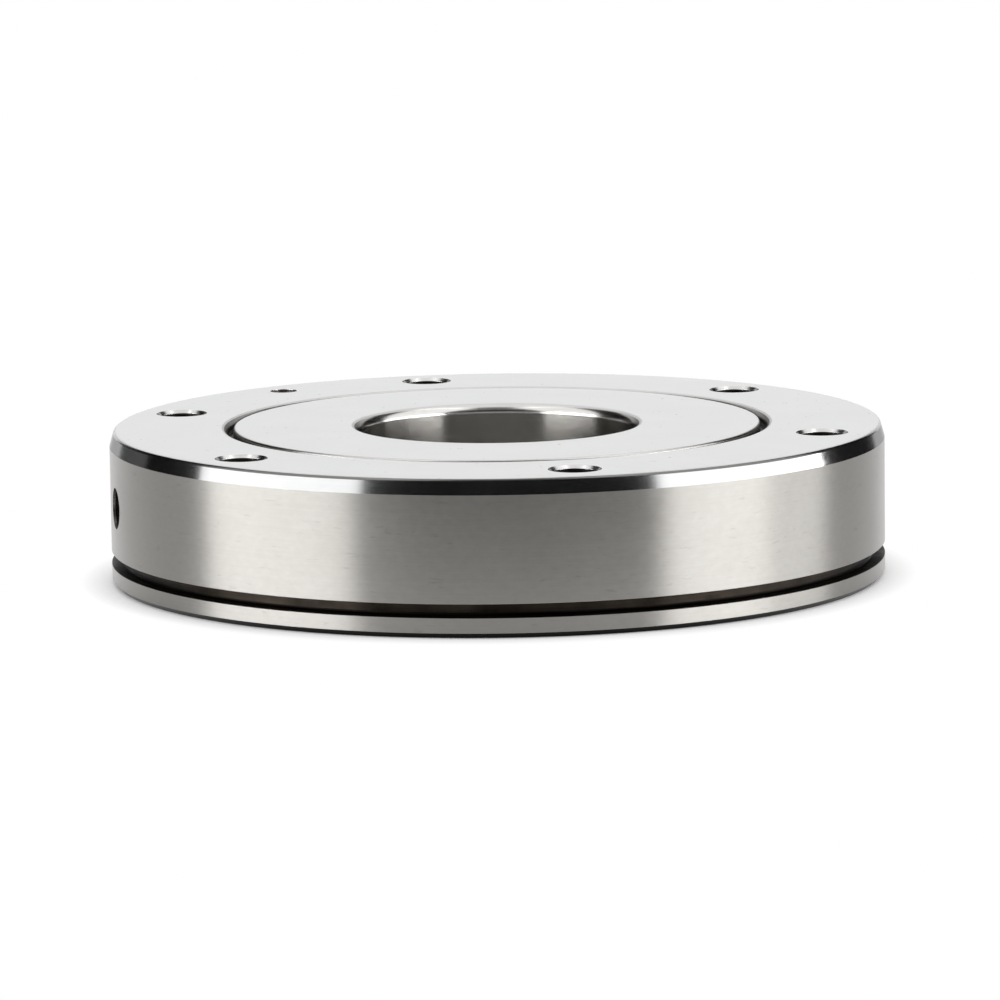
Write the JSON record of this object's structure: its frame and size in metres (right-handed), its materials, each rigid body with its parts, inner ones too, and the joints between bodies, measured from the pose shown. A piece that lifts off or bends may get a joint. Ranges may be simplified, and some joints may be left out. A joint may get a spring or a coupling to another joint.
{
  "type": "crossed roller slewing bearing",
  "caption": "Flat steel slewing bearing: a bolted outer ring and a plain inner ring that turns in it on crossed rollers between V raceways.",
  "frame": {"origin": "centre of the bottom face, on the turning axis", "axes": "+Z along the turning axis towards the tapered top edge, +X through a bolt hole; the grease port is at 210 degrees"},
  "size_m": [0.112, 0.112, 0.022],
  "materials": {
    "ring_steel": "ground",
    "plug_steel": "ground flush",
    "pin_steel": "dark",
    "roller_steel": "lapped",
    "seal_rubber": "matte",
    "spacer_plastic": "matte"
  },
  "bodies": {
    "outer": {"outer_ring": "ring_steel", "filling_plug": "plug_steel", "plug_pin": "pin_steel", "upper_seal": "seal_rubber", "lower_seal": "seal_rubber"},
    "inner": {"inner_ring": "ring_steel"},
    "spacer_train": {"roller_spacers": "spacer_plastic"},
    "roller_01_body": {"roller_01": "roller_steel"},
    "roller_02_body": {"roller_02": "roller_steel"},
    "roller_03_body": {"roller_03": "roller_steel"},
    "roller_04_body": {"roller_04": "roller_steel"},
    "roller_05_body": {"roller_05": "roller_steel"},
    "roller_06_body": {"roller_06": "roller_steel"},
    "roller_07_body": {"roller_07": "roller_steel"},
    "roller_08_body": {"roller_08": "roller_steel"},
    "roller_09_body": {"roller_09": "roller_steel"},
    "roller_10_body": {"roller_10": "roller_steel"},
    "roller_11_body": {"roller_11": "roller_steel"},
    "roller_12_body": {"roller_12": "roller_steel"},
    "roller_13_body": {"roller_13": "roller_steel"},
    "roller_14_body": {"roller_14": "roller_steel"},
    "roller_15_body": {"roller_15": "roller_steel"},
    "roller_16_body": {"roller_16": "roller_steel"},
    "roller_17_body": {"roller_17": "roller_steel"},
    "roller_18_body": {"roller_18": "roller_steel"},
    "roller_19_body": {"roller_19": "roller_steel"},
    "roller_20_body": {"roller_20": "roller_steel"},
    "roller_21_body": {"roller_21": "roller_steel"},
    "roller_22_body": {"roller_22": "roller_steel"},
    "roller_23_body": {"roller_23": "roller_steel"},
    "roller_24_body": {"roller_24": "roller_steel"},
    "roller_25_body": {"roller_25": "roller_steel"},
    "roller_26_body": {"roller_26": "roller_steel"},
    "roller_27_body": {"roller_27": "roller_steel"},
    "roller_28_body": {"roller_28": "roller_steel"},
    "roller_29_body": {"roller_29": "roller_steel"},
    "roller_30_body": {"roller_30": "roller_steel"},
    "roller_31_body": {"roller_31": "roller_steel"},
    "roller_32_body": {"roller_32": "roller_steel"},
    "roller_33_body": {"roller_33": "roller_steel"},
    "roller_34_body": {"roller_34": "roller_steel"},
    "roller_35_body": {"roller_35": "roller_steel"},
    "roller_36_body": {"roller_36": "roller_steel"},
    "roller_37_body": {"roller_37": "roller_steel"},
    "roller_38_body": {"roller_38": "roller_steel"},
    "roller_39_body": {"roller_39": "roller_steel"},
    "roller_40_body": {"roller_40": "roller_steel"}
  },
  "joints": [
    {"name": "inner_ring_turn", "type": "hinge", "parent": "outer", "child": "inner", "pos_m": [0, 0, 0.011], "axis": [0, 0, 1], "continuous": true},
    {"name": "spacer_train_turn", "type": "hinge", "parent": "outer", "child": "spacer_train", "pos_m": [0, 0, 0.012], "axis": [0, 0, 1], "continuous": true},
    {"name": "roller_01_spin", "type": "hinge", "parent": "spacer_train", "child": "roller_01_body", "pos_m": [0.0385, 0, 0.012], "axis": [0.7071, 0, 0.7071], "continuous": true},
    {"name": "roller_02_spin", "type": "hinge", "parent": "spacer_train", "child": "roller_02_body", "pos_m": [0.03803, 0.00602, 0.012], "axis": [0.6984, 0.1106, -0.7071], "continuous": true},
    {"name": "roller_03_spin", "type": "hinge", "parent": "spacer_train", "child": "roller_03_body", "pos_m": [0.03662, 0.0119, 0.012], "axis": [0.6725, 0.2185, 0.7071], "continuous": true},
    {"name": "roller_04_spin", "type": "hinge", "parent": "spacer_train", "child": "roller_04_body", "pos_m": [0.0343, 0.01748, 0.012], "axis": [0.63, 0.321, -0.7071], "continuous": true},
    {"name": "roller_05_spin", "type": "hinge", "parent": "spacer_train", "child": "roller_05_body", "pos_m": [0.03115, 0.02263, 0.012], "axis": [0.5721, 0.4156, 0.7071], "continuous": true},
    {"name": "roller_06_spin", "type": "hinge", "parent": "spacer_train", "child": "roller_06_body", "pos_m": [0.02722, 0.02722, 0.012], "axis": [0.5, 0.5, -0.7071], "continuous": true},
    {"name": "roller_07_spin", "type": "hinge", "parent": "spacer_train", "child": "roller_07_body", "pos_m": [0.02263, 0.03115, 0.012], "axis": [0.4156, 0.5721, 0.7071], "continuous": true},
    {"name": "roller_08_spin", "type": "hinge", "parent": "spacer_train", "child": "roller_08_body", "pos_m": [0.01748, 0.0343, 0.012], "axis": [0.321, 0.63, -0.7071], "continuous": true},
    {"name": "roller_09_spin", "type": "hinge", "parent": "spacer_train", "child": "roller_09_body", "pos_m": [0.0119, 0.03662, 0.012], "axis": [0.2185, 0.6725, 0.7071], "continuous": true},
    {"name": "roller_10_spin", "type": "hinge", "parent": "spacer_train", "child": "roller_10_body", "pos_m": [0.00602, 0.03803, 0.012], "axis": [0.1106, 0.6984, -0.7071], "continuous": true},
    {"name": "roller_11_spin", "type": "hinge", "parent": "spacer_train", "child": "roller_11_body", "pos_m": [0, 0.0385, 0.012], "axis": [0, 0.7071, 0.7071], "continuous": true},
    {"name": "roller_12_spin", "type": "hinge", "parent": "spacer_train", "child": "roller_12_body", "pos_m": [-0.00602, 0.03803, 0.012], "axis": [-0.1106, 0.6984, -0.7071], "continuous": true},
    {"name": "roller_13_spin", "type": "hinge", "parent": "spacer_train", "child": "roller_13_body", "pos_m": [-0.0119, 0.03662, 0.012], "axis": [-0.2185, 0.6725, 0.7071], "continuous": true},
    {"name": "roller_14_spin", "type": "hinge", "parent": "spacer_train", "child": "roller_14_body", "pos_m": [-0.01748, 0.0343, 0.012], "axis": [-0.321, 0.63, -0.7071], "continuous": true},
    {"name": "roller_15_spin", "type": "hinge", "parent": "spacer_train", "child": "roller_15_body", "pos_m": [-0.02263, 0.03115, 0.012], "axis": [-0.4156, 0.5721, 0.7071], "continuous": true},
    {"name": "roller_16_spin", "type": "hinge", "parent": "spacer_train", "child": "roller_16_body", "pos_m": [-0.02722, 0.02722, 0.012], "axis": [-0.5, 0.5, -0.7071], "continuous": true},
    {"name": "roller_17_spin", "type": "hinge", "parent": "spacer_train", "child": "roller_17_body", "pos_m": [-0.03115, 0.02263, 0.012], "axis": [-0.5721, 0.4156, 0.7071], "continuous": true},
    {"name": "roller_18_spin", "type": "hinge", "parent": "spacer_train", "child": "roller_18_body", "pos_m": [-0.0343, 0.01748, 0.012], "axis": [-0.63, 0.321, -0.7071], "continuous": true},
    {"name": "roller_19_spin", "type": "hinge", "parent": "spacer_train", "child": "roller_19_body", "pos_m": [-0.03662, 0.0119, 0.012], "axis": [-0.6725, 0.2185, 0.7071], "continuous": true},
    {"name": "roller_20_spin", "type": "hinge", "parent": "spacer_train", "child": "roller_20_body", "pos_m": [-0.03803, 0.00602, 0.012], "axis": [-0.6984, 0.1106, -0.7071], "continuous": true},
    {"name": "roller_21_spin", "type": "hinge", "parent": "spacer_train", "child": "roller_21_body", "pos_m": [-0.0385, 0, 0.012], "axis": [-0.7071, 0, 0.7071], "continuous": true},
    {"name": "roller_22_spin", "type": "hinge", "parent": "spacer_train", "child": "roller_22_body", "pos_m": [-0.03803, -0.00602, 0.012], "axis": [-0.6984, -0.1106, -0.7071], "continuous": true},
    {"name": "roller_23_spin", "type": "hinge", "parent": "spacer_train", "child": "roller_23_body", "pos_m": [-0.03662, -0.0119, 0.012], "axis": [-0.6725, -0.2185, 0.7071], "continuous": true},
    {"name": "roller_24_spin", "type": "hinge", "parent": "spacer_train", "child": "roller_24_body", "pos_m": [-0.0343, -0.01748, 0.012], "axis": [-0.63, -0.321, -0.7071], "continuous": true},
    {"name": "roller_25_spin", "type": "hinge", "parent": "spacer_train", "child": "roller_25_body", "pos_m": [-0.03115, -0.02263, 0.012], "axis": [-0.5721, -0.4156, 0.7071], "continuous": true},
    {"name": "roller_26_spin", "type": "hinge", "parent": "spacer_train", "child": "roller_26_body", "pos_m": [-0.02722, -0.02722, 0.012], "axis": [-0.5, -0.5, -0.7071], "continuous": true},
    {"name": "roller_27_spin", "type": "hinge", "parent": "spacer_train", "child": "roller_27_body", "pos_m": [-0.02263, -0.03115, 0.012], "axis": [-0.4156, -0.5721, 0.7071], "continuous": true},
    {"name": "roller_28_spin", "type": "hinge", "parent": "spacer_train", "child": "roller_28_body", "pos_m": [-0.01748, -0.0343, 0.012], "axis": [-0.321, -0.63, -0.7071], "continuous": true},
    {"name": "roller_29_spin", "type": "hinge", "parent": "spacer_train", "child": "roller_29_body", "pos_m": [-0.0119, -0.03662, 0.012], "axis": [-0.2185, -0.6725, 0.7071], "continuous": true},
    {"name": "roller_30_spin", "type": "hinge", "parent": "spacer_train", "child": "roller_30_body", "pos_m": [-0.00602, -0.03803, 0.012], "axis": [-0.1106, -0.6984, -0.7071], "continuous": true},
    {"name": "roller_31_spin", "type": "hinge", "parent": "spacer_train", "child": "roller_31_body", "pos_m": [0, -0.0385, 0.012], "axis": [0, -0.7071, 0.7071], "continuous": true},
    {"name": "roller_32_spin", "type": "hinge", "parent": "spacer_train", "child": "roller_32_body", "pos_m": [0.00602, -0.03803, 0.012], "axis": [0.1106, -0.6984, -0.7071], "continuous": true},
    {"name": "roller_33_spin", "type": "hinge", "parent": "spacer_train", "child": "roller_33_body", "pos_m": [0.0119, -0.03662, 0.012], "axis": [0.2185, -0.6725, 0.7071], "continuous": true},
    {"name": "roller_34_spin", "type": "hinge", "parent": "spacer_train", "child": "roller_34_body", "pos_m": [0.01748, -0.0343, 0.012], "axis": [0.321, -0.63, -0.7071], "continuous": true},
    {"name": "roller_35_spin", "type": "hinge", "parent": "spacer_train", "child": "roller_35_body", "pos_m": [0.02263, -0.03115, 0.012], "axis": [0.4156, -0.5721, 0.7071], "continuous": true},
    {"name": "roller_36_spin", "type": "hinge", "parent": "spacer_train", "child": "roller_36_body", "pos_m": [0.02722, -0.02722, 0.012], "axis": [0.5, -0.5, -0.7071], "continuous": true},
    {"name": "roller_37_spin", "type": "hinge", "parent": "spacer_train", "child": "roller_37_body", "pos_m": [0.03115, -0.02263, 0.012], "axis": [0.5721, -0.4156, 0.7071], "continuous": true},
    {"name": "roller_38_spin", "type": "hinge", "parent": "spacer_train", "child": "roller_38_body", "pos_m": [0.0343, -0.01748, 0.012], "axis": [0.63, -0.321, -0.7071], "continuous": true},
    {"name": "roller_39_spin", "type": "hinge", "parent": "spacer_train", "child": "roller_39_body", "pos_m": [0.03662, -0.0119, 0.012], "axis": [0.6725, -0.2185, 0.7071], "continuous": true},
    {"name": "roller_40_spin", "type": "hinge", "parent": "spacer_train", "child": "roller_40_body", "pos_m": [0.03803, -0.00602, 0.012], "axis": [0.6984, -0.1106, -0.7071], "continuous": true}
  ],
  "couplings": [
    {"joint": "spacer_train_turn", "follows": "inner_ring_turn", "ratio": 0.47704},
    {"joint": "roller_01_spin", "follows": "inner_ring_turn", "ratio": -7.6838},
    {"joint": "roller_02_spin", "follows": "inner_ring_turn", "ratio": 7.6838},
    {"joint": "roller_03_spin", "follows": "inner_ring_turn", "ratio": -7.6838},
    {"joint": "roller_04_spin", "follows": "inner_ring_turn", "ratio": 7.6838},
    {"joint": "roller_05_spin", "follows": "inner_ring_turn", "ratio": -7.6838},
    {"joint": "roller_06_spin", "follows": "inner_ring_turn", "ratio": 7.6838},
    {"joint": "roller_07_spin", "follows": "inner_ring_turn", "ratio": -7.6838},
    {"joint": "roller_08_spin", "follows": "inner_ring_turn", "ratio": 7.6838},
    {"joint": "roller_09_spin", "follows": "inner_ring_turn", "ratio": -7.6838},
    {"joint": "roller_10_spin", "follows": "inner_ring_turn", "ratio": 7.6838},
    {"joint": "roller_11_spin", "follows": "inner_ring_turn", "ratio": -7.6838},
    {"joint": "roller_12_spin", "follows": "inner_ring_turn", "ratio": 7.6838},
    {"joint": "roller_13_spin", "follows": "inner_ring_turn", "ratio": -7.6838},
    {"joint": "roller_14_spin", "follows": "inner_ring_turn", "ratio": 7.6838},
    {"joint": "roller_15_spin", "follows": "inner_ring_turn", "ratio": -7.6838},
    {"joint": "roller_16_spin", "follows": "inner_ring_turn", "ratio": 7.6838},
    {"joint": "roller_17_spin", "follows": "inner_ring_turn", "ratio": -7.6838},
    {"joint": "roller_18_spin", "follows": "inner_ring_turn", "ratio": 7.6838},
    {"joint": "roller_19_spin", "follows": "inner_ring_turn", "ratio": -7.6838},
    {"joint": "roller_20_spin", "follows": "inner_ring_turn", "ratio": 7.6838},
    {"joint": "roller_21_spin", "follows": "inner_ring_turn", "ratio": -7.6838},
    {"joint": "roller_22_spin", "follows": "inner_ring_turn", "ratio": 7.6838},
    {"joint": "roller_23_spin", "follows": "inner_ring_turn", "ratio": -7.6838},
    {"joint": "roller_24_spin", "follows": "inner_ring_turn", "ratio": 7.6838},
    {"joint": "roller_25_spin", "follows": "inner_ring_turn", "ratio": -7.6838},
    {"joint": "roller_26_spin", "follows": "inner_ring_turn", "ratio": 7.6838},
    {"joint": "roller_27_spin", "follows": "inner_ring_turn", "ratio": -7.6838},
    {"joint": "roller_28_spin", "follows": "inner_ring_turn", "ratio": 7.6838},
    {"joint": "roller_29_spin", "follows": "inner_ring_turn", "ratio": -7.6838},
    {"joint": "roller_30_spin", "follows": "inner_ring_turn", "ratio": 7.6838},
    {"joint": "roller_31_spin", "follows": "inner_ring_turn", "ratio": -7.6838},
    {"joint": "roller_32_spin", "follows": "inner_ring_turn", "ratio": 7.6838},
    {"joint": "roller_33_spin", "follows": "inner_ring_turn", "ratio": -7.6838},
    {"joint": "roller_34_spin", "follows": "inner_ring_turn", "ratio": 7.6838},
    {"joint": "roller_35_spin", "follows": "inner_ring_turn", "ratio": -7.6838},
    {"joint": "roller_36_spin", "follows": "inner_ring_turn", "ratio": 7.6838},
    {"joint": "roller_37_spin", "follows": "inner_ring_turn", "ratio": -7.6838},
    {"joint": "roller_38_spin", "follows": "inner_ring_turn", "ratio": 7.6838},
    {"joint": "roller_39_spin", "follows": "inner_ring_turn", "ratio": -7.6838},
    {"joint": "roller_40_spin", "follows": "inner_ring_turn", "ratio": 7.6838}
  ]
}
